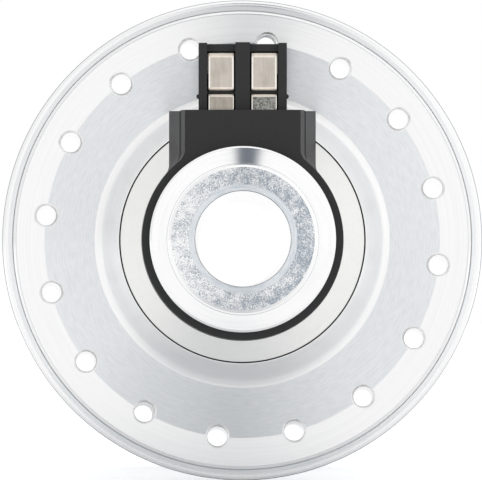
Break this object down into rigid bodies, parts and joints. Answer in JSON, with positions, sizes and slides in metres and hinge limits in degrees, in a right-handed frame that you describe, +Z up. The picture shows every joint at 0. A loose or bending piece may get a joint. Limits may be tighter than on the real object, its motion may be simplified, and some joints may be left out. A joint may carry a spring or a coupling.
{
  "type": "bicycle hub dynamo",
  "caption": "Front wheel hub with a built-in generator, spoked flanges, a hollow through axle, a brake disc seat and a plug-in electrical connector.",
  "frame": {"origin": "on the axle's axis, half way between the two end faces that the fork clamps", "axes": "+Y along the axle towards the brake disc side (the bicycle's left), +Z up through the connector, +X the way the bicycle rides"},
  "size_m": [0.0632, 0.1, 0.0632],
  "materials": {
    "zinc_plated_steel": "zinc plated, finely mottled",
    "polished_aluminium": "polished",
    "turned_aluminium": "finely turned, clear anodised",
    "black_plastic": "moulded, satin",
    "nickel_plated_brass": "nickel plated, lightly scratched",
    "red_insulation": "smooth",
    "black_insulation": "smooth",
    "bright_steel": "turned",
    "soft_iron": "stamped, phosphated",
    "bearing_steel": "ground and polished",
    "natural_nylon": "moulded",
    "enamelled_copper": "enamelled",
    "seal_rubber": "moulded",
    "sintered_magnet": "coated"
  },
  "bodies": {
    "axle_assembly": {"axle": "zinc_plated_steel", "right_clamp_ring": "polished_aluminium", "left_clamp_ring": "polished_aluminium", "connector_housing": "black_plastic", "terminal_block": "black_plastic", "front_contact": "nickel_plated_brass", "rear_contact": "nickel_plated_brass", "front_lead_wire": "red_insulation", "rear_lead_wire": "black_insulation", "right_dust_cover": "turned_aluminium", "left_dust_cover": "turned_aluminium", "right_spacer": "bright_steel", "left_spacer": "bright_steel", "stator_core": "soft_iron", "stator_key": "bright_steel", "right_claw_plate": "soft_iron", "left_claw_plate": "soft_iron", "coil_bobbin": "natural_nylon", "coil_winding": "enamelled_copper", "right_bearing_inner_ring": "bearing_steel", "left_bearing_inner_ring": "bearing_steel"},
    "wheel_shell": {"right_flange_cover": "turned_aluminium", "hub_shell": "turned_aluminium", "seam_o_ring": "seal_rubber", "rotor_ring": "soft_iron", "rotor_magnets": "sintered_magnet", "right_bearing_outer_ring": "bearing_steel", "left_bearing_outer_ring": "bearing_steel", "right_bearing_seals": "seal_rubber", "left_bearing_seals": "seal_rubber"},
    "right_ball_set": {"right_bearing_balls": "bearing_steel", "right_bearing_cage": "natural_nylon"},
    "left_ball_set": {"left_bearing_balls": "bearing_steel", "left_bearing_cage": "natural_nylon"}
  },
  "joints": [
    {"name": "hub_spin", "type": "hinge", "parent": "axle_assembly", "child": "wheel_shell", "pos_m": [0, 0, 0], "axis": [0, 1, 0], "continuous": true},
    {"name": "right_ball_roll", "type": "hinge", "parent": "axle_assembly", "child": "right_ball_set", "pos_m": [0, -0.0268, 0], "axis": [0, 1, 0], "continuous": true},
    {"name": "left_ball_roll", "type": "hinge", "parent": "axle_assembly", "child": "left_ball_set", "pos_m": [0, 0.0368, 0], "axis": [0, 1, 0], "continuous": true}
  ],
  "couplings": [
    {"joint": "right_ball_roll", "follows": "hub_spin", "ratio": 0.5673},
    {"joint": "left_ball_roll", "follows": "hub_spin", "ratio": 0.5673}
  ]
}
